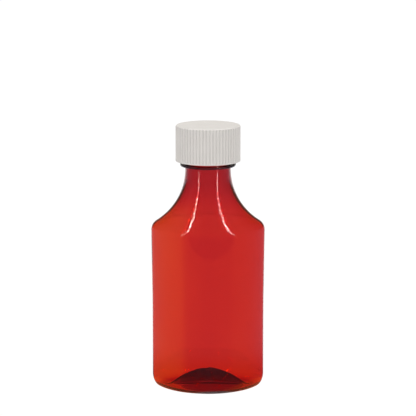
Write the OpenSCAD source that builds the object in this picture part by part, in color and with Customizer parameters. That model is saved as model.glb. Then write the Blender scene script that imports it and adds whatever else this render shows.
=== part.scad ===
// Oval liquid-medicine bottle, 120 mL, with a push-down-and-turn child-resistant cap.
// Width along X, depth along Y, front face towards -Y, base on Z = 0, neck axis on Z.

/* [Bottle body] */
// Half of the body's width, on its straight lower part
body_half_w = 26.6; // [25.5:0.1:27.5]
// Half of the body's depth, on its straight lower part
body_half_d = 18.4; // [17:0.1:19]
// Radius of the tight ends of the body's plan
end_r = 5.2; // [5:0.1:6]
// Half of the body's width at the widest place, under the shoulder
shoulder_half_w = 27.03; // [26.6:0.01:27.6]
// Height at which the body starts to widen towards the shoulder
taper_z = 42; // [30:1:60]
// Height of the widest place
shoulder_z = 77.1; // [74:0.1:78]
// Radius of the rounded shoulder
shoulder_r = 5.3; // [4:0.1:6]
// Radius of the long hollow curve from the shoulder to the neck
flare_r = 29.5; // [28:0.1:30]
// Width of the rounded heel, seen from below
heel_w = 4.6; // [3:0.1:4.6]
// Height of the rounded heel
heel_h = 7; // [5:0.5:9]
// Height of the push-up in the middle of the base
pushup_h = 6.4; // [2:0.1:8]
// Thickness of the body's wall
wall = 0.7; // [0.6:0.05:1]
// Thickness of the base at its foot
base_t = 1.2; // [0.8:0.1:1.6]
// Thickness of the base in the middle, at the gate
base_mid_t = 2.7; // [1.2:0.1:3]

/* [Neck finish] */
// Outer radius of the neck, at the root of its thread
neck_r = 10.8; // [10.6:0.05:11]
// Radius of the bore
bore_r = 9.1; // [8.9:0.05:9.2]
// Height of the mouth's sealing face above the base
mouth_z = 121.6; // [121.6:0.1:121.8]
// Radius of the transfer flange
flange_r = 13.2; // [12.6:0.05:13.2]
// Height of the flange's underside
flange_z = 108; // [107.4:0.1:108]
// Thickness of the flange
flange_t = 1.2; // [1:0.1:1.6]
// Radius of the thread's crest
thread_r = 11.85; // [11.6:0.05:11.85]
// Pitch of the thread, eight turns to the inch
thread_pitch = 3.175; // [3.175]
// Turns of thread on the neck and in the cap
thread_turns = 1.25; // [1:0.05:1.3]

/* [Cap] */
// Radius of the outer shell over its smooth band
shell_r = 15.4; // [15.3:0.05:15.8]
// Height of the shell's lower edge above the base
shell_z = 110.4; // [110.2:0.1:110.4]
// Height of the shell's flat top above the base
shell_top_z = 127.4; // [127.4:0.1:128]
// Thickness of the shell's top
shell_top_t = 1.2; // [1:0.1:1.2]
// Inner radius of the shell's skirt
shell_inner_r = 14.2; // [14.2:0.05:14.4]
// Number of ribs round the shell
rib_count = 60; // [48:1:72]
// How far each rib stands out
rib_h = 0.4; // [0.3:0.05:0.5]
// Height of the smooth band below the ribs
band_h = 0.6; // [0.4:0.1:1]
// Rounding of the shell's top edge
top_round = 0.7; // [0.4:0.1:0.9]
// Inner radius of the bead that keeps the shell on the inner cap
bead_r = 13.5; // [13.5:0.05:13.6]
// Inner radius of the inner cap's skirt
inner_cap_r = 12.15; // [12.15:0.05:12.2]
// Thickness of the inner cap's skirt
inner_cap_wall = 1.2; // [1:0.05:1.2]
// Thickness of the inner cap's top
inner_cap_top_t = 1.1; // [0.9:0.1:1.1]
// Height of the inner cap's lower edge above the base
inner_cap_z = 111.7; // [111.7:0.1:112]
// Number of drive teeth on the inner cap, and of lugs in the shell
tooth_count = 12; // [8:1:12]
// Thickness of the foam liner
liner_t = 1; // [0.8:0.1:1]
// Radius of the foam liner
liner_r = 11.85; // [11:0.05:11.85]

/* [Hidden] */
$fn = 96;

amber = [0.72, 0.13, 0.10, 0.6];
white = [0.87, 0.86, 0.84];
foam_white = [0.95, 0.94, 0.90];
natural_white = [0.90, 0.89, 0.84];

eps = 0.01;
seat_gap = 0.05;       // air left between pieces that rest on each other
foot_share = 0.82;     // the push-up's rim, as a share of the foot's outline

// The plan is four arcs that meet tangentially: two long ones and two tight ends.
end_angle = 90 - 2 * atan((body_half_d - end_r) / (body_half_w - end_r));
front_r = body_half_d + tan(end_angle) * (body_half_w - end_r);
end_steps = 4;         // steps in half of an end arc
front_steps = 8;       // steps in half of a long arc

// The flare's arc is tangent to the neck's side and to the shoulder's arc.
flare_x = neck_r + flare_r;
shoulder_x = shoulder_half_w - shoulder_r;
flare_z = shoulder_z + sqrt(pow(flare_r + shoulder_r, 2) - pow(flare_x - shoulder_x, 2));
join_angle = atan2(flare_z - shoulder_z, flare_x - shoulder_x);

tube_z = flare_z - 4;            // lower end of the straight bore
loft_top_z = flare_z - 1.5;      // where the lofted body ends round the tube
loft_top_angle = asin((flare_z - loft_top_z) / flare_r);
neck_wall = 1.2;                 // thickness of the flare at the neck

liner_z = mouth_z + seat_gap;
inner_top_z = liner_z + liner_t + seat_gap + inner_cap_top_t;
inner_cap_out_r = inner_cap_r + inner_cap_wall;
tooth_h = 1;
tooth_in_r = 8.5;
tooth_out_r = 12.5;
tooth_w = 1.7;
shell_ceiling_z = shell_top_z - shell_top_t;
rib_crest_r = shell_r - 0.04;

// ---- plan and profile of the body ----

function dir(u) = [cos(u), sin(u)];

// Point of the plan whose outward normal is at angle u, within the first quadrant
function oval_quarter(u) = u <= end_angle
    ? [body_half_w - end_r, 0] + end_r * dir(u)
    : [0, body_half_d - front_r] + front_r * dir(u);

// Directions of the outline's points, with one on every joint between arcs
quarter_turn = concat(
    [for (i = [0 : end_steps - 1]) end_angle * i / end_steps],
    [for (i = [0 : front_steps]) end_angle + (90 - end_angle) * i / front_steps]
);
half_turn = concat(
    quarter_turn,
    [for (i = [len(quarter_turn) - 2 : -1 : 1]) 180 - quarter_turn[i]]
);
full_turn = concat(half_turn, [for (u = half_turn) 180 + u]);

// The same point in any quadrant
function oval(u) = let (p = oval_quarter(atan2(abs(sin(u)), abs(cos(u)))))
    [p.x * sign(cos(u)), p.y * sign(sin(u))];

// The plan changes from the round neck to the full oval as its half width grows
function outline(u, half_w) =
    let (share = (half_w - neck_r) / (body_half_w - neck_r))
    (1 - share) * neck_r * dir(u) + share * oval(u);

// A station is [half width of the plan, inset along its normal, scale, height]
function station_ring(s) = [
    for (u = full_turn)
        let (p = s[2] * (outline(u, s[0]) - s[1] * dir(u)))
        [p.x, p.y, s[3]]
];

function dome_z(k) = pushup_h * (1 - pow(k / foot_share, 2));

// Thickness that the base gains towards the middle
function base_extra(k) = (base_mid_t - base_t) * (1 - pow(k / foot_share, 2));

// Stations from the base's centre out to the neck, moved inwards by thickness t
function skin(side_t, neck_t, bottom_t) = concat(
    [for (k = [0.25, 0.5, 0.7, foot_share])
        [body_half_w, heel_w, k, dome_z(k) + (bottom_t > 0 ? bottom_t + base_extra(k) : 0)]],
    [for (a = [0 : 15 : 90])
        [body_half_w, heel_w * (1 - sin(a)) + side_t * sin(a), 1,
            heel_h * (1 - cos(a)) + bottom_t * cos(a)]],
    [[body_half_w, side_t, 1, taper_z]],
    [for (i = [0 : 4])
        let (a = join_angle * i / 5)
        [shoulder_x + shoulder_r * cos(a), side_t * cos(a), 1,
            shoulder_z + shoulder_r * sin(a) - side_t * sin(a)]],
    [for (i = [0 : 8])
        let (f = i / 8, a = join_angle * (1 - f) + loft_top_angle * f,
            t = side_t * (1 - f) + neck_t * f)
        [flare_x - flare_r * cos(a), t * cos(a), 1,
            flare_z - flare_r * sin(a) - t * sin(a)]]
);

function reversed(list) = [for (i = [len(list) - 1 : -1 : 0]) list[i]];

// Closed skin through a list of rings, with a single point at each end
module closed_skin(first, rings, last) {
    n = len(rings[0]);
    last_start = 1 + (len(rings) - 1) * n;
    points = concat([first], [for (r = rings) each r], [last]);
    faces = concat(
        [for (j = [0 : n - 1]) [0, 1 + j, 1 + (j + 1) % n]],
        [for (i = [0 : len(rings) - 2], j = [0 : n - 1])
            let (a = 1 + i * n + j, b = 1 + i * n + (j + 1) % n)
            [a, a + n, b + n, b]],
        [for (j = [0 : n - 1])
            [last_start + j, len(points) - 1, last_start + (j + 1) % n]]
    );
    polyhedron(points = points, faces = faces, convexity = 8);
}

// Helical ridge of trapezoid section; both ends run out to the thin section
module thread_ridge(full, thin, inner_half, outer_half, start_z) {
    per_turn = 36;
    run_out = 3;
    n = round(per_turn * thread_turns);
    sections = [for (i = [0 : n])
        let (f = min(1, i / run_out, (n - i) / run_out),
            radii = thin * (1 - f) + full * f,
            d = dir(360 * i / per_turn),
            z = start_z + thread_pitch * i / per_turn)
        [
            [radii[0] * d.x, radii[0] * d.y, z - inner_half],
            [radii[1] * d.x, radii[1] * d.y, z - outer_half],
            [radii[1] * d.x, radii[1] * d.y, z + outer_half],
            [radii[0] * d.x, radii[0] * d.y, z + inner_half]
        ]
    ];
    faces = concat(
        [[2, 1, 0], [3, 2, 0]],
        [for (i = [0 : n - 1], k = [0 : 3], half = [0, 1])
            let (a = 4 * i + k, b = 4 * i + (k + 1) % 4)
            half == 0 ? [a, b + 4, a + 4] : [a, b, b + 4]],
        [[4 * n, 4 * n + 1, 4 * n + 2], [4 * n, 4 * n + 2, 4 * n + 3]]
    );
    polyhedron(points = [for (s = sections) each s], faces = faces, convexity = 6);
}

// ---- bottle ----

module blown_body() {
    outer = skin(0, 0, 0);
    inner = skin(wall, neck_wall, base_t);
    rings = concat(
        [for (s = outer) station_ring(s)],
        [for (s = reversed(inner)) station_ring(s)]
    );
    closed_skin([0, 0, dome_z(0)], rings, [0, 0, dome_z(0) + base_mid_t]);
}

module neck_finish() {
    lip = 0.4;
    rim = 0.4;
    rotate_extrude()
        polygon([
            [bore_r, tube_z],
            [neck_r, tube_z],
            [neck_r, flange_z],
            [flange_r - rim, flange_z],
            [flange_r, flange_z + rim],
            [flange_r, flange_z + flange_t - rim],
            [flange_r - rim, flange_z + flange_t],
            [neck_r, flange_z + flange_t],
            [neck_r, mouth_z - lip],
            [neck_r - lip, mouth_z],
            [bore_r + lip / 2, mouth_z],
            [bore_r, mouth_z - lip / 2]
        ]);
}

module bottle() {
    color(amber) {
        blown_body();
        neck_finish();
        thread_ridge(
            full = [neck_r - 0.5, thread_r],
            thin = [neck_r - 0.5, neck_r + 0.1],
            inner_half = 1.05,
            outer_half = 0.4,
            start_z = mouth_z - 2 - thread_pitch * thread_turns
        );
    }
}

// ---- cap ----

module cap_liner() {
    color(foam_white)
        translate([0, 0, liner_z])
            cylinder(r = liner_r, h = liner_t);
}

// Row of wedges on a circle: driving face upright, slipping face sloped
module wedges(first_angle, base_z, up) {
    for (i = [0 : tooth_count - 1])
        rotate([0, 0, first_angle + 360 * i / tooth_count])
            translate([tooth_in_r, 0, base_z])
                rotate([90, 0, 90])
                    linear_extrude(height = tooth_out_r - tooth_in_r)
                        polygon([
                            [-up * tooth_w / 2, -up * eps],
                            [up * tooth_w / 2, -up * eps],
                            [up * tooth_w / 2, up * tooth_h],
                            [-up * tooth_w / 6, up * tooth_h]
                        ]);
}

module inner_cap() {
    rim_r = 13.9;
    rim_h = 0.9;
    color(natural_white) {
        rotate_extrude()
            polygon([
                [0, inner_top_z - inner_cap_top_t],
                [inner_cap_r, inner_top_z - inner_cap_top_t],
                [inner_cap_r, inner_cap_z],
                [inner_cap_out_r, inner_cap_z],
                [rim_r, inner_cap_z + rim_h / 3],
                [rim_r, inner_cap_z + rim_h],
                [inner_cap_out_r, inner_cap_z + rim_h * 1.5],
                [inner_cap_out_r, inner_top_z - 0.4],
                [inner_cap_out_r - 0.4, inner_top_z],
                [0, inner_top_z]
            ]);
        wedges(0, inner_top_z, 1);
        thread_ridge(
            full = [neck_r + 0.3, inner_cap_r + 0.5],
            thin = [inner_cap_r - 0.1, inner_cap_r + 0.5],
            inner_half = 0.25,
            outer_half = 0.8,
            start_z = mouth_z - 2 - thread_pitch * (thread_turns + 0.5)
        );
    }
}

module spring_disc() {
    ring_t = 0.5;
    ring_out_r = 7;
    ring_in_r = 4;
    finger_count = 4;
    finger_l = 5.6;
    finger_w = 1.8;
    finger_t = 0.5;
    finger_z = inner_top_z + seat_gap;
    rise = shell_ceiling_z - seat_gap - finger_z - finger_t;
    lean = asin(rise / finger_l);
    color(natural_white) {
        translate([0, 0, finger_z])
            difference() {
                cylinder(r = ring_out_r, h = ring_t);
                translate([0, 0, -1])
                    cylinder(r = ring_in_r, h = ring_t + 2);
            }
        for (i = [0 : finger_count - 1])
            rotate([0, 0, 360 * i / finger_count])
                translate([(ring_in_r + ring_out_r) / 2, 0, finger_z])
                    rotate([90, 0, 90])
                        linear_extrude(height = finger_w, center = true)
                            polygon([
                                [0, 0],
                                [finger_t, 0],
                                [finger_l * cos(lean), rise],
                                [finger_l * cos(lean) - 0.1, rise + finger_t],
                                [finger_l * cos(lean) - 0.7, rise + finger_t],
                                [-finger_t, finger_t * 0.8],
                                [-finger_t, 0]
                            ]);
    }
}

module ribbed_outline() {
    rib_r = 0.55;
    circle(r = rib_crest_r - rib_h);
    for (i = [0 : rib_count - 1])
        rotate([0, 0, 360 * i / rib_count])
            translate([rib_crest_r - rib_r, 0])
                circle(r = rib_r, $fn = 24);
}

// Outside of the shell with its rounded top edge, a little wider than the band
module shell_envelope() {
    wide_r = shell_r + 0.1;
    rotate_extrude()
        polygon(concat(
            [
                [0, shell_z - 1],
                [wide_r, shell_z - 1],
                [wide_r, shell_top_z - top_round - 0.3]
            ],
            [for (a = [15 : 15 : 75])
                [shell_r, shell_top_z] - top_round * [1, 1] + top_round * dir(a)],
            [
                [shell_r - top_round, shell_top_z],
                [0, shell_top_z]
            ]
        ));
}

module cap_shell() {
    bead_z = shell_z + 0.2;
    bead_h = 0.9;
    color(white) {
        difference() {
            intersection() {
                union() {
                    translate([0, 0, shell_z])
                        cylinder(r = shell_r, h = band_h);
                    translate([0, 0, shell_z + band_h / 2])
                        linear_extrude(height = shell_top_z + 1 - shell_z)
                            ribbed_outline();
                }
                shell_envelope();
            }
            translate([0, 0, shell_z - 1])
                cylinder(r = shell_inner_r, h = shell_ceiling_z - shell_z + 1);
        }
        rotate_extrude()
            polygon([
                [shell_inner_r + 0.3, bead_z],
                [shell_inner_r, bead_z],
                [bead_r, bead_z + bead_h / 2],
                [bead_r, bead_z + bead_h * 0.8],
                [shell_inner_r, bead_z + bead_h],
                [shell_inner_r + 0.3, bead_z + bead_h]
            ]);
        wedges(180 / tooth_count, shell_ceiling_z, -1);
    }
}

bottle();
cap_liner();
inner_cap();
spring_disc();
cap_shell();
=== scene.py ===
"""Oval amber medicine bottle with a child-resistant cap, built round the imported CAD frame.

Lengths in the drawing helpers are millimetres and are scaled to metres when a mesh is made.
"""
import math

import bpy
import numpy as np
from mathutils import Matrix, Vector


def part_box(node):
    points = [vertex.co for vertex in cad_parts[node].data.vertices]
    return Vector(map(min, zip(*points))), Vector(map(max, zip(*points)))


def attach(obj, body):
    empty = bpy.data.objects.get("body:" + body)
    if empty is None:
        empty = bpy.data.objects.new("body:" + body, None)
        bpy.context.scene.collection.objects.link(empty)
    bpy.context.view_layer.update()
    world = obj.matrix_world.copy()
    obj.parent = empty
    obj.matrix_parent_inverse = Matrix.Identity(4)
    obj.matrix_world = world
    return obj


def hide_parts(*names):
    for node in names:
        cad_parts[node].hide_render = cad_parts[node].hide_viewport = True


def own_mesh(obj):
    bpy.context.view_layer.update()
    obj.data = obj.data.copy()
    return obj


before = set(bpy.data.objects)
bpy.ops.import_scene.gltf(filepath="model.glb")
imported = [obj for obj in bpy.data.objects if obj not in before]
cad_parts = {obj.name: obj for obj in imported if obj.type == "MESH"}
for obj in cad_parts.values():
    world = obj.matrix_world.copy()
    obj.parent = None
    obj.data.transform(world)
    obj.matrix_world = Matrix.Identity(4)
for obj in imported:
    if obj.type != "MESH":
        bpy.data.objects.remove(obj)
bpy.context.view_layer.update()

MM = 0.001


def box_mm(node):
    """Lowest and highest corner of a CAD node, in millimetres."""
    low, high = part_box(node)
    return [c / MM for c in low], [c / MM for c in high]


# ---- driving dimensions, in millimetres -------------------------------------------

bottle_low, bottle_high = box_mm("bottle")
liner_low, liner_high = box_mm("cap_liner")
inner_low, inner_high = box_mm("inner_cap")
spring_low, spring_high = box_mm("spring_disc")
shell_low, shell_high = box_mm("cap_shell")

# Body
SHOULDER_HALF_W = bottle_high[0]
BODY_HALF_W = 26.6
BODY_HALF_D = 18.4
END_R = 5.2
TAPER_Z = 42.0
SHOULDER_Z = 77.1
SHOULDER_R = 5.3
FLARE_R = 29.5
HEEL_W = 4.6
HEEL_H = 7.0
PUSHUP_H = 6.4
FOOT_SHARE = 0.82
WALL = 0.7
BASE_T = 1.2
BASE_MID_T = 2.5
# Power with which the heel thins out from the foot to the wall
HEEL_THINNING = 6
# The thick patch below the neck: its middle and half width, how far it hangs, and how much
# it and its edge add to the wall
PATCH_X = 1.6
PATCH_HALF_W = 10.4
PATCH_DROP = 10.5
PATCH_T = 0.17
PATCH_EDGE_T = 0.07
# The moulding gate's nub: its height, its reach as a share of the base's outline, and how
# much of its height shows on the inside
GATE_H = 0.55
GATE_REACH = 0.075
GATE_INSIDE = 0.6
SWIRL_H = 0.18

# Neck finish
NECK_R = 10.8
BORE_R = 9.1
NECK_WALL = 1.2
MOUTH_Z = bottle_high[2]
FLANGE_R = 13.2
FLANGE_Z = 108.0
FLANGE_T = 1.2
THREAD_R = 11.85
PITCH = 3.175
THREAD_TURNS = 1.25

# Cap
SHELL_R = shell_high[0]
SHELL_Z = shell_low[2]
SHELL_TOP_Z = shell_high[2]
SHELL_TOP_T = 1.2
SHELL_INNER_R = 14.2
BEAD_R = 13.5
RIB_COUNT = 60
RIB_H = 0.4
RIB_R = 0.55
BAND_H = 0.6
TOP_ROUND = 0.7
LINER_R = liner_high[0]
INNER_CAP_R = 12.15
INNER_CAP_WALL = 1.2
INNER_TOP_T = 1.1
INNER_RIM_R = inner_high[0]
TOOTH_COUNT = 12
TOOTH_H = 1.0
TOOTH_IN_R = 8.5
TOOTH_OUT_R = 12.5
TOOTH_W = 1.7
# Air left at the tips of the teeth and lugs at full push
TIP_GAP = 0.05
INNER_TOP_Z = inner_high[2] - TOOTH_H

# The plan is four arcs that meet tangentially; the flare is tangent to neck and shoulder.
END_ANGLE = math.pi / 2 - 2 * math.atan((BODY_HALF_D - END_R) / (BODY_HALF_W - END_R))
FRONT_R = BODY_HALF_D + math.tan(END_ANGLE) * (BODY_HALF_W - END_R)
FLARE_X = NECK_R + FLARE_R
SHOULDER_X = SHOULDER_HALF_W - SHOULDER_R
FLARE_Z = SHOULDER_Z + math.sqrt((FLARE_R + SHOULDER_R) ** 2 - (FLARE_X - SHOULDER_X) ** 2)
JOIN_ANGLE = math.atan2(FLARE_Z - SHOULDER_Z, FLARE_X - SHOULDER_X)


# ---- mesh helpers -------------------------------------------------------------------

def mesh_object(name, points, faces):
    """Object from points in millimetres and a list of faces, smooth shaded."""
    mesh = bpy.data.meshes.new(name)
    mesh.from_pydata((np.asarray(points) * MM).tolist(), [], faces)
    mesh.polygons.foreach_set("use_smooth", [True] * len(mesh.polygons))
    mesh.validate()
    mesh.update()
    obj = bpy.data.objects.new(name, mesh)
    bpy.context.scene.collection.objects.link(obj)
    return obj


def skin(first, rings, last):
    """Points and faces of a closed skin through rings of points, with one point at each end."""
    n = len(rings[0])
    points = np.vstack([[first], *rings, [last]])
    j = np.arange(n)
    k = (j + 1) % n
    faces = np.stack([np.zeros(n, int), 1 + k, 1 + j], 1).tolist()
    for i in range(len(rings) - 1):
        a = 1 + i * n
        faces += np.stack([a + j, a + k, a + n + k, a + n + j], 1).tolist()
    a = 1 + (len(rings) - 1) * n
    faces += np.stack([a + j, a + k, np.full(n, len(points) - 1)], 1).tolist()
    return points, faces


def join_parts(parts):
    """Several (points, faces) as one."""
    points, faces, start = [], [], 0
    for p, f in parts:
        points.append(np.asarray(p))
        faces += [[start + i for i in face] for face in f]
        start += len(p)
    return np.vstack(points), faces


def arc(cx, cz, r, a0, a1, n):
    """n + 1 points of an arc in the (radius, height) plane, angles in degrees."""
    return [(cx + r * math.cos(math.radians(a)), cz + r * math.sin(math.radians(a)))
            for a in np.linspace(a0, a1, n + 1)]


def line(p, q, n):
    """n points from p towards q, q left out."""
    return [(p[0] + (q[0] - p[0]) * i / n, p[1] + (q[1] - p[1]) * i / n) for i in range(n)]


def lathe(profile, around, ring_radius=None):
    """Closed skin from a (radius, height) profile whose two ends are on the axis.

    ring_radius(angles, radius, height) gives the radius of each point of a ring."""
    angles = np.linspace(0, 2 * np.pi, around, endpoint=False)
    rings = []
    for r, z in profile[1:-1]:
        if ring_radius is None:
            radius = np.full(around, float(r))
        else:
            radius = ring_radius(angles, r, z)
        rings.append(np.stack([radius * np.cos(angles), radius * np.sin(angles),
                               np.full(around, z)], 1))
    return skin((0, 0, profile[0][1]), rings, (0, 0, profile[-1][1]))


def ease(x):
    """Smooth step from 0 to 1."""
    x = np.clip(x, 0, 1)
    return x * x * (3 - 2 * x)


def thread_height(angles, z, start_z, flat, foot):
    """Share of the full thread height, 0 to 1, at each angle on one ring.

    flat is half of the crest's width and foot half of the root's."""
    best = np.zeros_like(angles)
    for turn in (0, 1):
        along = angles + 2 * np.pi * turn
        inside = along <= 2 * np.pi * THREAD_TURNS
        centre = start_z + PITCH * along / (2 * np.pi)
        ends = ease(np.minimum(along, 2 * np.pi * THREAD_TURNS - along) / 0.5)
        share = ease((foot - np.abs(z - centre)) / (foot - flat)) * ends
        best = np.maximum(best, np.where(inside, share, 0))
    return best


# ---- bottle ---------------------------------------------------------------------------

def plan_directions(end_steps, front_steps):
    """Normal directions round the plan, with one on every joint between its arcs."""
    quarter = np.concatenate([
        np.linspace(0, END_ANGLE, end_steps, endpoint=False),
        np.linspace(END_ANGLE, np.pi / 2, front_steps + 1),
    ])
    half = np.concatenate([quarter, np.pi - quarter[-2:0:-1]])
    return np.concatenate([half, half + np.pi])


PLAN = plan_directions(16, 44)
NORMAL = np.stack([np.cos(PLAN), np.sin(PLAN)], 1)


def oval():
    """The body's plan: the point whose outward normal is each direction of PLAN."""
    v = np.arctan2(np.abs(NORMAL[:, 1]), np.abs(NORMAL[:, 0]))
    at_end = v <= END_ANGLE + 1e-9
    x = np.where(at_end, BODY_HALF_W - END_R + END_R * np.cos(v), FRONT_R * np.cos(v))
    y = np.where(at_end, END_R * np.sin(v), BODY_HALF_D - FRONT_R + FRONT_R * np.sin(v))
    return np.stack([x * np.sign(NORMAL[:, 0]), y * np.sign(NORMAL[:, 1])], 1)


OVAL = oval()


def ring(half_w, inset, z, scale=1.0, lift=0.0):
    """One ring of the bottle: the plan at that half width, moved in along its normals."""
    share = (half_w - NECK_R) / (BODY_HALF_W - NECK_R)
    plan = (1 - share) * NECK_R * NORMAL + share * OVAL
    xy = scale * (plan - np.reshape(inset, (-1, 1)) * NORMAL)
    return np.column_stack([xy, np.full(len(PLAN), z) + lift])


def wall_at(z):
    """Wall thickness round one ring: thickest in the middle of the front and back, thinner
    towards the ends and thinnest on the left, a little uneven, with a thick patch that hangs
    below the neck at the front."""
    x = OVAL[:, 0]
    off = np.abs(x)
    left = x < 0
    drop = np.where(left, 0.06 * ease(off / 9) + 0.15 * ease((off - 8.5) / 5),
                    0.03 * ease(off / 8) + 0.05 * ease((off - 9.5) / 3))
    slope = np.where(left, 0.0085 * np.maximum(0, off - 13.5), 0.006 * np.maximum(0, off - 12))
    uneven = (0.010 * np.sin(3 * PLAN + 0.06 * z + 0.7) + 0.008 * np.sin(5 * PLAN - 0.11 * z)
              + 0.005 * np.sin(9 * PLAN + 0.23 * z + 2.1))
    reach = np.hypot((x - PATCH_X) / PATCH_HALF_W, (SHOULDER_Z - z) / PATCH_DROP)
    front = (NORMAL[:, 1] < 0) & (z <= SHOULDER_Z + 1)
    patch = np.where(front, PATCH_T * ease((1.06 - reach) / 0.14)
                     + PATCH_EDGE_T * np.exp(-((reach - 0.95) / 0.06) ** 2), 0)
    patch = patch * ease((SHOULDER_Z + 1 - z) / 2)
    return WALL * 1.05 - drop - slope + uneven + patch


def gate(k):
    """Height of the moulding gate's nub at share k of the base's outline."""
    return GATE_H * float(ease((GATE_REACH - k) / 0.03))


def dome(k):
    """Height of the base's underside at share k of its outline."""
    return PUSHUP_H * (1 - (k / FOOT_SHARE) ** 2)


def base_thickness(k):
    """The base is thickest in the middle, where the preform's gate was."""
    return BASE_T + (BASE_MID_T - BASE_T) * max(0, 1 - (k / FOOT_SHARE) ** 2)


def bottle_rings():
    """Rings from the middle of the base, up the outside, over the lip and down the inside."""
    rings = []
    dome_shares = np.concatenate([np.linspace(0.02, 0.12, 8), np.linspace(0.16, FOOT_SHARE, 22)])
    for k in dome_shares:
        rings.append(ring(BODY_HALF_W, HEEL_W, dome(k) - gate(k), scale=k))
    for a in np.linspace(0, 90, 22):
        s, c = math.sin(math.radians(a)), math.cos(math.radians(a))
        rings.append(ring(BODY_HALF_W, HEEL_W * (1 - s), HEEL_H * (1 - c)))
    for z in np.linspace(HEEL_H + 2, SHOULDER_Z - 2, 44):
        rings.append(ring(body_half_w(z), 0, z))
    for a in np.linspace(0, JOIN_ANGLE, 24, endpoint=False):
        rings.append(ring(SHOULDER_X + SHOULDER_R * math.cos(a), 0,
                          SHOULDER_Z + SHOULDER_R * math.sin(a)))
    for a in np.linspace(JOIN_ANGLE, 0, 180):
        rings.append(ring(FLARE_X - FLARE_R * math.cos(a), 0, FLARE_Z - FLARE_R * math.sin(a)))
    for r, z in neck_profile():
        rings.append(neck_ring(r, z))
    for r, z in bore_profile():
        rings.append(ring(NECK_R, NECK_R - r, z))
    for a in np.linspace(0.01, JOIN_ANGLE, 80):
        share = float(ease(1.15 * a / JOIN_ANGLE))
        thick = wall_at(FLARE_Z - FLARE_R * math.sin(a)) * share + NECK_WALL * (1 - share)
        rings.append(ring(FLARE_X - FLARE_R * math.cos(a), thick * math.cos(a),
                          FLARE_Z - FLARE_R * math.sin(a), lift=-thick * math.sin(a)))
    for a in np.linspace(JOIN_ANGLE, 0, 20)[1:]:
        z = SHOULDER_Z + SHOULDER_R * math.sin(a)
        thick = wall_at(z)
        rings.append(ring(SHOULDER_X + SHOULDER_R * math.cos(a), thick * math.cos(a), z,
                          lift=-thick * math.sin(a)))
    for z in np.linspace(SHOULDER_Z - 2, HEEL_H + 2, 44):
        rings.append(ring(body_half_w(z), wall_at(z), z))
    for a in np.linspace(90, 0, 18):
        s, c = math.sin(math.radians(a)), math.cos(math.radians(a))
        thick = wall_at(HEEL_H) + (BASE_T - wall_at(HEEL_H)) * c ** HEEL_THINNING
        rings.append(ring(BODY_HALF_W, HEEL_W * (1 - s) + thick * s, HEEL_H * (1 - c),
                          lift=thick * c))
    for k in dome_shares[::-1]:
        rings.append(ring(BODY_HALF_W, HEEL_W, dome(k) + base_thickness(k) - GATE_INSIDE * gate(k),
                          scale=k, lift=flow_marks(k)))
    return rings


def body_half_w(z):
    """Half of the body's width at a height up to the shoulder."""
    widen = max(0.0, (z - TAPER_Z) / (SHOULDER_Z - TAPER_Z))
    return BODY_HALF_W + (SHOULDER_HALF_W - BODY_HALF_W) * widen


def flow_marks(k):
    """Shallow swirl round the gate, where the plastic froze as it spread."""
    fade = ease((k - 0.03) / 0.08) * ease((0.55 - k) / 0.3)
    return SWIRL_H * fade * np.sin(5 * PLAN + 9 * k)


def neck_profile():
    """Outside of the neck from the flare's top to the lip, with the flange."""
    soft = 0.45
    top = FLANGE_Z + FLANGE_T
    lip = 0.4
    profile = line((NECK_R, FLARE_Z + 0.15), (NECK_R, FLANGE_Z - 0.3), 6)
    profile += arc(NECK_R + 0.3, FLANGE_Z - 0.3, 0.3, 180, 90, 4)
    profile += arc(FLANGE_R - soft, FLANGE_Z + soft, soft, -90, 0, 6)
    profile += arc(FLANGE_R - soft, top - soft, soft, 0, 90, 6)
    profile += arc(NECK_R + 0.3, top + 0.3, 0.3, 270, 180, 4)
    profile += line((NECK_R, top + 0.4), (NECK_R, MOUTH_Z - lip), 100)
    profile += arc(NECK_R - lip, MOUTH_Z - lip, lip, 0, 90, 5)
    return profile


def bore_profile():
    """The straight bore from the sealing face down, easing out into the blown wall."""
    lip = 0.2
    widen = NECK_R - BORE_R - NECK_WALL
    low, high = FLANGE_Z - 0.6, FLANGE_Z + 1.4
    profile = arc(BORE_R + lip, MOUTH_Z - lip, lip, 90, 180, 4)
    profile += line((BORE_R, MOUTH_Z - 1), (BORE_R, high), 12)
    for t in np.linspace(0, 1, 8)[:-1]:
        profile.append((BORE_R + widen * float(ease(t)), high + (low - high) * t))
    profile += line((BORE_R + widen, low), (BORE_R + widen, FLARE_Z), 4)
    return profile


def neck_ring(r, z):
    """Ring of the finish, with the thread standing out above the flange."""
    start_z = MOUTH_Z - 2 - PITCH * THREAD_TURNS
    rise = (THREAD_R - NECK_R) * thread_height(PLAN, z, start_z, 0.35, 0.95)
    on_wall = abs(r - NECK_R) < 1e-6 and z > FLANGE_Z + FLANGE_T
    return ring(NECK_R, NECK_R - r - (rise if on_wall else 0), z)


def make_bottle():
    points, faces = skin((0, 0, dome(0) - gate(0)), bottle_rings(),
                         (0, 0, dome(0) + base_thickness(0) - GATE_INSIDE * gate(0)))
    return mesh_object("bottle_blown", points, faces)


# ---- cap --------------------------------------------------------------------------------

def wedge(angle, base_z, up):
    """Drive tooth or lug: one upright face and one sloped face, edges eased, and its tip just
    clear of the face that it meets when the shell is pushed down."""
    w, h = TOOTH_W, TOOTH_H - TIP_GAP
    side = [(-w / 2, -0.05), (w / 2, -0.05), (w / 2, h - 0.12), (w / 2 - 0.12, h),
            (-w / 6 + 0.1, h), (-w / 6 - 0.08, h - 0.1)]
    n = len(side)
    c, s = math.cos(angle), math.sin(angle)
    points = []
    for r in (TOOTH_IN_R, TOOTH_OUT_R):
        for t, z in side:
            t *= up
            points.append((r * c - t * s, r * s + t * c, base_z + up * z))
    faces = [list(range(n))[::-1], list(range(n, 2 * n))]
    faces += [[i, (i + 1) % n, n + (i + 1) % n, n + i] for i in range(n)]
    return points, faces


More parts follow.
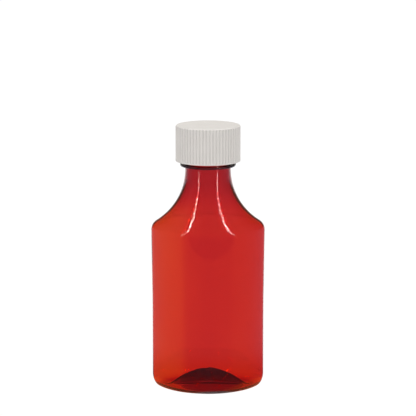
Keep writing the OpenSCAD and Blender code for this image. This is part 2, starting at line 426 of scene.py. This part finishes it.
def make_liner():
    """Foam disc; the mouth has pressed a shallow ring into its underside."""
    soft = 0.2
    low, high = liner_low[2], liner_high[2]
    press = 0.06
    profile = [(0, low)] + line((1, low), (BORE_R - 0.4, low), 6)
    profile += [(BORE_R - 0.2, low), (BORE_R, low + press), (NECK_R - 0.3, low + press),
                (NECK_R, low)]
    profile += arc(LINER_R - soft, low + soft, soft, -90, 0, 4)
    profile += arc(LINER_R - soft, high - soft, soft, 0, 90, 4)
    profile += line((LINER_R - 0.5, high), (1, high), 5) + [(0, high)]
    return mesh_object("foam_liner", *lathe(profile, 160))


def make_inner_cap():
    """Threaded inner cap with its drive teeth and its retaining rim."""
    low = inner_low[2]
    out_r = INNER_CAP_R + INNER_CAP_WALL
    rim_h = 0.9
    ceiling = INNER_TOP_Z - INNER_TOP_T
    profile = [(0, ceiling)] + line((2, ceiling), (INNER_CAP_R - 0.3, ceiling), 4)
    profile += arc(INNER_CAP_R - 0.25, ceiling - 0.25, 0.25, 90, 0, 4)
    profile += line((INNER_CAP_R, ceiling - 0.4), (INNER_CAP_R, low + 0.25), 110)
    profile += arc(INNER_CAP_R + 0.2, low + 0.2, 0.2, 180, 270, 4)
    profile += [(out_r - 0.1, low), (out_r + 0.1, low + 0.03)]
    profile += arc(INNER_RIM_R - 0.2, low + rim_h / 3 + 0.2, 0.2, -50, 0, 3)
    profile += arc(INNER_RIM_R - 0.2, low + rim_h - 0.2, 0.2, 0, 60, 3)
    profile += [(out_r + 0.05, low + rim_h * 1.45), (out_r, low + rim_h * 1.6)]
    profile += arc(out_r - 0.4, INNER_TOP_Z - 0.4, 0.4, 0, 90, 6)
    profile += line((out_r - 0.6, INNER_TOP_Z), (1, INNER_TOP_Z), 6) + [(0, INNER_TOP_Z)]
    start_z = MOUTH_Z - 2 - PITCH * (THREAD_TURNS + 0.5)

    def threaded(angles, r, z):
        radius = np.full(len(angles), float(r))
        if abs(r - INNER_CAP_R) < 1e-6:
            radius -= (INNER_CAP_R - NECK_R - 0.3) * thread_height(angles, z, start_z, 0.25, 0.7)
        return radius

    points, faces = lathe(profile, 240, threaded)
    faces = [f[::-1] for f in faces]
    teeth = [wedge(2 * math.pi * i / TOOTH_COUNT, INNER_TOP_Z, 1) for i in range(TOOTH_COUNT)]
    return mesh_object("inner_cap_moulding", *join_parts([(points, faces)] + teeth))


def make_spring():
    """Flat ring with four fingers that curve up to the shell's ceiling."""
    low, high = spring_low[2], spring_high[2]
    in_r, out_r, thick, soft = 4.0, 7.0, 0.5, 0.12
    around = 120
    section = (arc(out_r - soft, low + soft, soft, -90, 0, 3)
               + arc(out_r - soft, low + thick - soft, soft, 0, 90, 3)
               + arc(in_r + soft, low + thick - soft, soft, 90, 180, 3)
               + arc(in_r + soft, low + soft, soft, 180, 270, 3))
    n = len(section)
    angles = np.linspace(0, 2 * np.pi, around, endpoint=False)
    points = [(r * math.cos(a), r * math.sin(a), z) for a in angles for r, z in section]
    faces = []
    for i in range(around):
        for k in range(n):
            a, b = i * n, (i + 1) % around * n
            faces.append([a + k, b + k, b + (k + 1) % n, a + (k + 1) % n])
    parts = [(points, faces)]
    length, width, steps = 5.4, 1.8, 16
    mid_r = (in_r + out_r) / 2
    for f in range(4):
        turn = math.pi / 2 * f
        c, s = math.cos(turn), math.sin(turn)
        points, faces = [], []
        for i in range(steps + 1):
            t = i / steps
            along = length * t - 0.2
            base = low + 0.02 + (high - low - 0.42) * float(ease(t * 0.92)) / float(ease(0.92))
            half = width / 2 * (1 - 0.25 * t)
            for across, up in ((-half, 0), (half, 0), (half, 0.4), (-half, 0.4)):
                x, y = mid_r + across, along
                points.append((x * c - y * s, x * s + y * c, base + up))
        for i in range(steps):
            for k in range(4):
                a, b = 4 * i + k, 4 * i + (k + 1) % 4
                faces.append([a, a + 4, b + 4, b])
        faces += [[0, 1, 2, 3], [4 * steps + 3, 4 * steps + 2, 4 * steps + 1, 4 * steps]]
        parts.append((points, faces))
    return mesh_object("spring_disc_moulding", *join_parts(parts))


def rib_radius(angles, crest):
    """Radius of the ribbed wall: small round ribs standing on a plain cylinder."""
    step = 2 * np.pi / RIB_COUNT
    off = (angles + step / 2) % step - step / 2
    middle = crest - RIB_R
    reach = RIB_R ** 2 - (middle * np.sin(off)) ** 2
    rib = middle * np.cos(off) + np.sqrt(np.maximum(reach, 0))
    return np.where(reach > 0, np.maximum(rib, crest - RIB_H), crest - RIB_H)


def make_shell():
    """Ribbed outer shell with its smooth band, snap bead and twelve lugs."""
    crest = SHELL_R - 0.04
    ceiling = SHELL_TOP_Z - SHELL_TOP_T
    edge = 0.2
    band_top = SHELL_Z + BAND_H
    bead_z, bead_h = SHELL_Z + 0.2, 0.9
    profile = [(0, ceiling)] + line((2, ceiling), (SHELL_INNER_R - 0.4, ceiling), 4)
    profile += arc(SHELL_INNER_R - 0.3, ceiling - 0.3, 0.3, 90, 0, 4)
    profile += line((SHELL_INNER_R, ceiling - 1), (SHELL_INNER_R, bead_z + bead_h + 0.1), 6)
    profile += [(SHELL_INNER_R - 0.05, bead_z + bead_h)]
    profile += arc(BEAD_R + 0.15, bead_z + bead_h * 0.65, 0.15, 130, 220, 4)
    profile += [(SHELL_INNER_R - 0.05, bead_z + 0.03), (SHELL_INNER_R, SHELL_Z + 0.1)]
    profile += [(SHELL_INNER_R + 0.1, SHELL_Z)]
    profile += arc(SHELL_R - edge, SHELL_Z + edge, edge, -90, 0, 4)
    profile += arc(SHELL_R - 0.1, band_top - 0.1, 0.1, 0, 80, 3)
    inside = len(profile)
    rib_top = SHELL_TOP_Z - TOP_ROUND
    profile += [(crest, band_top + 0.02), (crest, band_top + 0.12), (crest, band_top + 0.3)]
    profile += line((crest, band_top + 1), (crest, rib_top), 5)
    profile += arc(crest - TOP_ROUND, rib_top, TOP_ROUND, 0, 90, 12)
    profile += line((crest - TOP_ROUND - 0.3, SHELL_TOP_Z), (2, SHELL_TOP_Z), 6)
    profile += [(0, SHELL_TOP_Z)]
    order = iter(range(1, len(profile) - 1))

    def ribbed(angles, r, z):
        i = next(order)
        if i < inside or r < crest - TOP_ROUND - 1e-6:
            return np.full(len(angles), float(r))
        ribs = rib_radius(angles, crest)
        low_end = float(ease((z - band_top + 0.02) / 0.3))
        depth = (crest - ribs) * low_end
        if z > rib_top:
            rise = (z - rib_top) / TOP_ROUND
            depth = np.maximum(0, depth - (crest - r)) * (1 - rise)
        return r - depth

    points, faces = lathe(profile, RIB_COUNT * 16, ribbed)
    faces = [f[::-1] for f in faces]
    lugs = [wedge(2 * math.pi * (i + 0.5) / TOOTH_COUNT, ceiling, -1) for i in range(TOOTH_COUNT)]
    return mesh_object("cap_shell_moulding", *join_parts([(points, faces)] + lugs))


# ---- materials ----------------------------------------------------------------------------

def material(name):
    mat = bpy.data.materials.new(name)
    mat.use_nodes = True
    return mat, mat.node_tree.nodes, mat.node_tree.links, mat.node_tree.nodes["Principled BSDF"]


def noise(nodes, links, scale, detail=3.0, stretch=(1, 1, 1)):
    """Noise on the object's own coordinates, in patterns about 1 / scale metres across."""
    coord = nodes.new("ShaderNodeTexCoord")
    mapping = nodes.new("ShaderNodeMapping")
    mapping.inputs["Scale"].default_value = stretch
    tex = nodes.new("ShaderNodeTexNoise")
    tex.inputs["Scale"].default_value = scale
    tex.inputs["Detail"].default_value = detail
    links.new(coord.outputs["Object"], mapping.inputs["Vector"])
    links.new(mapping.outputs["Vector"], tex.inputs["Vector"])
    return tex.outputs["Fac"]


def map_range(nodes, links, value, low, high, from_low=0.3, from_high=0.7):
    node = nodes.new("ShaderNodeMapRange")
    node.inputs["From Min"].default_value = from_low
    node.inputs["From Max"].default_value = from_high
    node.inputs["To Min"].default_value = low
    node.inputs["To Max"].default_value = high
    links.new(value, node.inputs["Value"])
    return node.outputs["Result"]


def bump(nodes, links, bsdf, height, distance):
    node = nodes.new("ShaderNodeBump")
    node.inputs["Distance"].default_value = distance
    node.inputs["Strength"].default_value = 1.0
    links.new(height, node.inputs["Height"])
    links.new(node.outputs["Normal"], bsdf.inputs["Normal"])


PET_IOR = 1.575
AMBER_COLOUR = (0.947, 0.56, 0.0, 1)
AMBER_DENSITY = 7500.0
# Reach of the occlusion node, and how dark the painted shade in crevices gets
CREVICE_REACH = 0.0008
CREVICE_PAINTED_SHADE = 0.55


def amber_pet():
    """Clear PET dyed amber-red: the colour is in the plastic, so thick places are darker."""
    mat, nodes, links, bsdf = material("amber_pet")
    bsdf.inputs["Base Color"].default_value = (1, 1, 1, 1)
    bsdf.inputs["Transmission Weight"].default_value = 1.0
    bsdf.inputs["IOR"].default_value = PET_IOR
    haze = noise(nodes, links, 90, 4.0, (1, 1, 0.35))
    links.new(map_range(nodes, links, haze, 0.0, 0.012), bsdf.inputs["Roughness"])
    volume = nodes.new("ShaderNodeVolumeAbsorption")
    volume.inputs["Color"].default_value = AMBER_COLOUR
    volume.inputs["Density"].default_value = AMBER_DENSITY
    links.new(volume.outputs["Volume"], nodes["Material Output"].inputs["Volume"])
    return mat


def moulded_plastic(name, dark, light, roughness, grain):
    """Opaque moulded plastic: faint mottling, painted shade in its crevices, soft sheen and fine
    grain.
    """
    mat, nodes, links, bsdf = material(name)
    mottle = noise(nodes, links, 160, 3.0)
    mix = nodes.new("ShaderNodeMix")
    mix.data_type = "RGBA"
    mix.inputs["A"].default_value = (*dark, 1)
    mix.inputs["B"].default_value = (*light, 1)
    links.new(map_range(nodes, links, mottle, 0, 1), mix.inputs["Factor"])
    # Painted shade: an occlusion node darkens the colour in grooves and crevices, where shade
    # falls.
    crevice = nodes.new("ShaderNodeAmbientOcclusion")
    crevice.samples = 8
    crevice.only_local = True
    crevice.inputs["Distance"].default_value = CREVICE_REACH
    painted_crevice_shade = nodes.new("ShaderNodeMix")
    painted_crevice_shade.data_type = "RGBA"
    painted_crevice_shade.inputs["A"].default_value = (*[CREVICE_PAINTED_SHADE * c for c in dark], 1)
    links.new(mix.outputs["Result"], painted_crevice_shade.inputs["B"])
    links.new(map_range(nodes, links, crevice.outputs["AO"], 0, 1, 0.45, 0.92),
              painted_crevice_shade.inputs["Factor"])
    links.new(painted_crevice_shade.outputs["Result"], bsdf.inputs["Base Color"])
    links.new(map_range(nodes, links, noise(nodes, links, 900, 2.0), *roughness),
              bsdf.inputs["Roughness"])
    bump(nodes, links, bsdf, noise(nodes, links, 5200, 2.0), grain)
    return mat


def paint(obj, mat):
    obj.data.materials.clear()
    obj.data.materials.append(mat)


# ---- object ------------------------------------------------------------------------------

amber = amber_pet()
shell_white = moulded_plastic("shell_white", (0.665, 0.637, 0.603), (0.685, 0.658, 0.625),
                              (0.42, 0.50), 0.000004)
natural = moulded_plastic("natural_pp", (0.74, 0.73, 0.68), (0.80, 0.79, 0.74),
                          (0.30, 0.42), 0.00001)
foam = moulded_plastic("liner_foam", (0.80, 0.79, 0.75), (0.87, 0.86, 0.82),
                       (0.70, 0.85), 0.00006)

for obj, mat, node, body, finish_slot in (
    (make_bottle(), amber, "bottle", "bottle_body", "amber_plastic"),
    (make_liner(), foam, "cap_liner", "liner_body", "foam"),
    (make_inner_cap(), natural, "inner_cap", "inner_cap_body", "natural_plastic"),
    (make_spring(), natural, "spring_disc", "spring_body", "natural_plastic"),
    (make_shell(), shell_white, "cap_shell", "shell_body", "white_plastic"),
):
    paint(obj, mat)
    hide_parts(node)
    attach(obj, body)

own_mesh(bpy.data.objects["spring_disc_moulding"])


# ---- stage, light and camera ----------------------------------------------------------------

def emission_material(name, colour, strength):
    mat = bpy.data.materials.new(name)
    mat.use_nodes = True
    nodes, links = mat.node_tree.nodes, mat.node_tree.links
    nodes.remove(nodes["Principled BSDF"])
    glow = nodes.new("ShaderNodeEmission")
    glow.inputs["Color"].default_value = (*colour, 1)
    glow.inputs["Strength"].default_value = strength
    links.new(glow.outputs["Emission"], nodes["Material Output"].inputs["Surface"])
    return mat


def show_to(obj, camera=True, diffuse=True, glossy=True, transmission=True, shadow=True):
    """Which kinds of ray see an object."""
    obj.visible_camera = camera
    obj.visible_diffuse = diffuse
    obj.visible_glossy = glossy
    obj.visible_transmission = transmission
    obj.visible_shadow = shadow


def stage_mesh(name, points, faces, mat):
    mesh = bpy.data.meshes.new(name)
    mesh.from_pydata(points, [], faces)
    mesh.update()
    obj = bpy.data.objects.new(name, mesh)
    bpy.context.scene.collection.objects.link(obj)
    obj.data.materials.append(mat)
    return obj


# Half of the square floor's side, and its one face
FLOOR_SIZE = 8.0
FLOOR_FACE = [(0, 1, 2, 3)]
# The floors lie a fraction of a millimetre apart, so that no two share a plane.
PAPER_Z = -0.0006
SHADE_Z = -0.0003
DIM_Z = -0.0002
SWEEP_GLOW = 1.03
PAPER_ALBEDO = 0.15
PAPER_GLOW = 0.82
# A painted shadow under the foot: the colour, glow, place and size of a dim glowing disc
SHADE_COLOUR = (1, 0.5, 0.45)
SHADE_GLOW = 0.34
SHADE_X = 0.002
SHADE_HALF_W = 0.015
SHADE_HALF_D = 0.0155
SHADE_POINTS = 64
TENT_TINT = (0.34, 0.29, 0.39)
# Painted red light on the floor round the foot, seen only in reflections
RED_GLOW = (0.95, 0.20, 0.09)


def floor_points(z):
    """Corners of the square floor at a height."""
    h = FLOOR_SIZE
    return [(-h, -h, z), (h, -h, z), (h, h, z), (-h, h, z)]


def make_sweep():
    """The white sweep as the camera sees it, overexposed as in the photograph."""
    mat = emission_material("sweep_white", (1, 1, 1), SWEEP_GLOW)
    sweep = stage_mesh("floor_white", floor_points(0), FLOOR_FACE, mat)
    show_to(sweep, diffuse=False, glossy=False, transmission=False, shadow=False)


def make_paper():
    """The same floor as everything but the camera sees it: grey paper that also glows."""
    mat, _, _, bsdf = material("floor_paper")
    bsdf.inputs["Base Color"].default_value = (PAPER_ALBEDO, PAPER_ALBEDO, PAPER_ALBEDO, 1)
    bsdf.inputs["Emission Color"].default_value = (1, 1, 1, 1)
    bsdf.inputs["Emission Strength"].default_value = PAPER_GLOW
    bsdf.inputs["Roughness"].default_value = 0.9
    bsdf.inputs["Specular IOR Level"].default_value = 0.0
    paper = stage_mesh("floor_lit", floor_points(PAPER_Z), FLOOR_FACE, mat)
    show_to(paper, camera=False)


def make_shade():
    """A painted shadow: under the foot, a dim reddish glowing disc, as little light gets in below
    the base.
    """
    points = [(SHADE_X + SHADE_HALF_W * math.cos(a), SHADE_HALF_D * math.sin(a), SHADE_Z)
              for a in np.linspace(0, 2 * math.pi, SHADE_POINTS, endpoint=False)]
    mat = emission_material("floor_shade", SHADE_COLOUR, SHADE_GLOW)
    shade = stage_mesh("floor_shade", points, [tuple(range(SHADE_POINTS))], mat)
    show_to(shade, camera=False, diffuse=False, shadow=False)


make_sweep()
make_paper()
make_shade()


def dim_floor():
    """Points and faces of a disc whose rings get wider with distance, to past the corners of
    the square floor."""
    far = 1.45 * FLOOR_SIZE
    radii = np.concatenate([np.linspace(0.012, 0.070, 30), np.geomspace(0.075, far, 24)])
    around = 96
    angles = np.linspace(0, 2 * np.pi, around, endpoint=False)
    points = [(r * math.sin(a), -r * math.cos(a), DIM_Z) for r in radii for a in angles]
    faces = []
    for i in range(len(radii) - 1):
        for j in range(around):
            k = (j + 1) % around
            a, b = i * around, (i + 1) * around
            faces.append((a + j, b + j, b + k, a + k))
    return points, faces


def floor_colour(points):
    """Colour and cover of the floor round the bottle, as the bottle's surface reflects it.

    This floor is seen only in glossy rays, so it is a painted reflection. It paints a pool of red
    light round the foot, where the bottle would throw red light; the floor in front of it is dim
    and gets lighter with distance, and behind it the plain lit floor shows."""
    x, y = points[:, 0], points[:, 1]
    r = np.hypot(x, y)
    outline = np.hypot(x / (BODY_HALF_W * MM), y / (BODY_HALF_D * MM))
    under = np.hypot((x - SHADE_X) / SHADE_HALF_W, y / SHADE_HALF_D)
    glow = ease((1.55 - outline) / 0.35) * ease((y + 0.019) / 0.005)
    distant = 0.30 + 0.70 * ease((r - 0.045) / 0.070)
    not_behind = ease((0.90 - y / r) / 0.45) * ease((outline - 0.85) / 0.1)
    colour = glow[:, None] * RED_GLOW + ((1 - glow) * distant)[:, None] * TENT_TINT
    cover = glow * ease((under - 1) / 0.1) + (1 - glow) * not_behind
    return np.column_stack([colour, cover])


# A painted reflection: a glowing disc that only glossy rays see, coloured by floor_colour.
def make_dim_floor():
    points, faces = dim_floor()
    mat = emission_material("floor_dim", TENT_TINT, 1.0)
    nodes, links = mat.node_tree.nodes, mat.node_tree.links
    painted = nodes.new("ShaderNodeAttribute")
    painted.attribute_name = "floor_colour"
    clear = nodes.new("ShaderNodeBsdfTransparent")
    mix = nodes.new("ShaderNodeMixShader")
    links.new(painted.outputs["Color"], nodes["Emission"].inputs["Color"])
    links.new(painted.outputs["Alpha"], mix.inputs["Fac"])
    links.new(clear.outputs["BSDF"], mix.inputs[1])
    links.new(nodes["Emission"].outputs["Emission"], mix.inputs[2])
    links.new(mix.outputs["Shader"], nodes["Material Output"].inputs["Surface"])
    obj = stage_mesh("floor_dim", points, faces, mat)
    colours = obj.data.attributes.new("floor_colour", "FLOAT_COLOR", "POINT")
    colours.data.foreach_set("color", floor_colour(np.array(points)).ravel())
    show_to(obj, camera=False, diffuse=False, transmission=False, shadow=False)


make_dim_floor()

# Two bowed rows of small lamps stand at the edges of the tent's open front. Seen from the
# bottle, the rows are closest together at LAMP_WAIST and spread apart above and below it.
LAMP_CENTRE = np.array([0, 0, 0.1])
LAMP_RADIUS = 0.42
LAMP_WAIST = 20.0
LAMP_BEARING = 40.0
LAMP_SPREAD = 0.0105
# Name of each stretch of a row, the elevations of its lamps in degrees, their width and height
# in metres, and their strength
LAMP_STRETCHES = (
    ("low", np.arange(-8, 9, 1.5), 0.012, 0.008, 22.0),
    ("mid", np.arange(14, 62, 6.0), 0.026, 0.010, 60.0),
    ("high", np.arange(63, 74, 1.5), 0.014, 0.010, 26.0),
)
LAMP_SIDES = (("right", 1, (1.0, 0.93, 0.95)), ("left", -1, (1.0, 0.94, 0.84)))


def lamp_point(side, elevation):
    """Place of a lamp at an elevation in degrees, with the row's bearing a parabola."""
    a = math.radians(LAMP_BEARING + LAMP_SPREAD * (elevation - LAMP_WAIST) ** 2)
    e = math.radians(elevation)
    out = np.array([side * math.sin(a) * math.cos(e), -math.cos(a) * math.cos(e), math.sin(e)])
    return LAMP_CENTRE + LAMP_RADIUS * out


def lamp_row(name, side, tint, elevations, wide, tall, strength):
    """Flat lamps along the bent row, at these heights."""
    points, faces = [], []
    for elevation in elevations:
        centre = lamp_point(side, elevation)
        along = lamp_point(side, elevation + 0.5) - lamp_point(side, elevation - 0.5)
        along /= np.linalg.norm(along)
        across = np.cross(centre - LAMP_CENTRE, along)
        across /= np.linalg.norm(across)
        start = len(points)
        for i, j in ((-1, -1), (1, -1), (1, 1), (-1, 1)):
            points.append(tuple(centre + wide / 2 * i * across + tall / 2 * j * along))
        faces.append([start, start + 1, start + 2, start + 3])
    row = stage_mesh(name, points, faces, emission_material(name, tint, strength))
    show_to(row, camera=False, diffuse=False, shadow=False)


for side_name, side, tint in LAMP_SIDES:
    for stretch, elevations, wide, tall, strength in LAMP_STRETCHES:
        lamp_row(f"lamps_{stretch}_{side_name}", side, tint, elevations, wide, tall, strength)

OVERHEAD_POWER = 11.0
STRIP_POWER = 0.21


def area_light(name, location, target, size, power):
    data = bpy.data.lights.new(name, "AREA")
    data.shape = "RECTANGLE"
    data.size, data.size_y = size
    data.energy = power
    obj = bpy.data.objects.new(name, data)
    bpy.context.scene.collection.objects.link(obj)
    obj.location = location
    direction = np.array(target) - np.array(location)
    obj.rotation_mode = "QUATERNION"
    obj.rotation_quaternion = Vector(direction).to_track_quat("-Z", "Y")
    show_to(obj, camera=False, glossy=False, transmission=False)


area_light("soft_overhead", (0, -0.1, 1.2), (0, 0, 0.05), (1.4, 1.4), OVERHEAD_POWER)
area_light("strip_left", (-0.31, -0.30, 0.24), (0, 0, 0.11), (0.05, 0.5), STRIP_POWER)
area_light("strip_right", (0.31, -0.30, 0.24), (0, 0, 0.11), (0.05, 0.5), STRIP_POWER)


# Colours that a glossy surface sees, from the tent's front at 0 to its back at 1
TENT_STOPS = (
    (0.40, TENT_TINT),
    (0.70, [0.55 * c for c in TENT_TINT]),
    (0.80, (0.14, 0.13, 0.11)),
    (0.95, (0.20, 0.18, 0.13)),
)
TENT_DIFFUSE = 0.60


def build_world():
    """White tent. In a glossy surface it is dim, violet grey in front and darker behind."""
    world = bpy.data.worlds.new("tent")
    bpy.context.scene.world = world
    world.use_nodes = True
    nodes, links = world.node_tree.nodes, world.node_tree.links
    nodes.clear()
    plain = nodes.new("ShaderNodeBackground")
    plain.inputs["Color"].default_value = (1, 1, 1, 1)
    plain.inputs["Strength"].default_value = 1.0
    seen = nodes.new("ShaderNodeBackground")
    coord = nodes.new("ShaderNodeTexCoord")
    split = nodes.new("ShaderNodeSeparateXYZ")
    links.new(coord.outputs["Generated"], split.inputs["Vector"])
    ramp = nodes.new("ShaderNodeValToRGB")
    elements = ramp.color_ramp.elements
    while len(elements) < len(TENT_STOPS):
        elements.new(0.5)
    for element, (at, colour) in zip(elements, TENT_STOPS):
        element.position = at
        element.color = (*colour, 1)
    back = nodes.new("ShaderNodeMapRange")
    back.inputs["From Min"].default_value = -1
    back.inputs["From Max"].default_value = 1
    links.new(split.outputs["Y"], back.inputs["Value"])
    links.new(back.outputs["Result"], ramp.inputs["Fac"])
    links.new(ramp.outputs["Color"], seen.inputs["Color"])
    path = nodes.new("ShaderNodeLightPath")
    mix = nodes.new("ShaderNodeMixShader")
    links.new(path.outputs["Is Glossy Ray"], mix.inputs["Fac"])
    soft = nodes.new("ShaderNodeMapRange")
    soft.inputs["To Min"].default_value = 1.0
    soft.inputs["To Max"].default_value = TENT_DIFFUSE
    links.new(path.outputs["Is Diffuse Ray"], soft.inputs["Value"])
    links.new(soft.outputs["Result"], plain.inputs["Strength"])
    links.new(plain.outputs["Background"], mix.inputs[1])
    links.new(seen.outputs["Background"], mix.inputs[2])
    out = nodes.new("ShaderNodeOutputWorld")
    links.new(mix.outputs["Shader"], out.inputs["Surface"])


build_world()
bpy.context.scene.view_settings.view_transform = "Standard"

# The camera looks slightly down from a long way off.
CAMERA_DISTANCE = 0.970
CAMERA_HEIGHT = 0.274
AIM_HEIGHT = 0.0875
CAMERA_LENS = 179.83
CAMERA_TILT = math.atan2(CAMERA_HEIGHT - AIM_HEIGHT, CAMERA_DISTANCE)
camera_data = bpy.data.cameras.new("camera")
camera_data.lens = CAMERA_LENS
camera_data.sensor_width = 36
camera = bpy.data.objects.new("camera", camera_data)
bpy.context.scene.collection.objects.link(camera)
camera.location = (0, -CAMERA_DISTANCE, CAMERA_HEIGHT)
camera.rotation_euler = (math.pi / 2 - CAMERA_TILT, 0, 0)
camera_data.clip_end = 50
bpy.context.scene.camera = camera
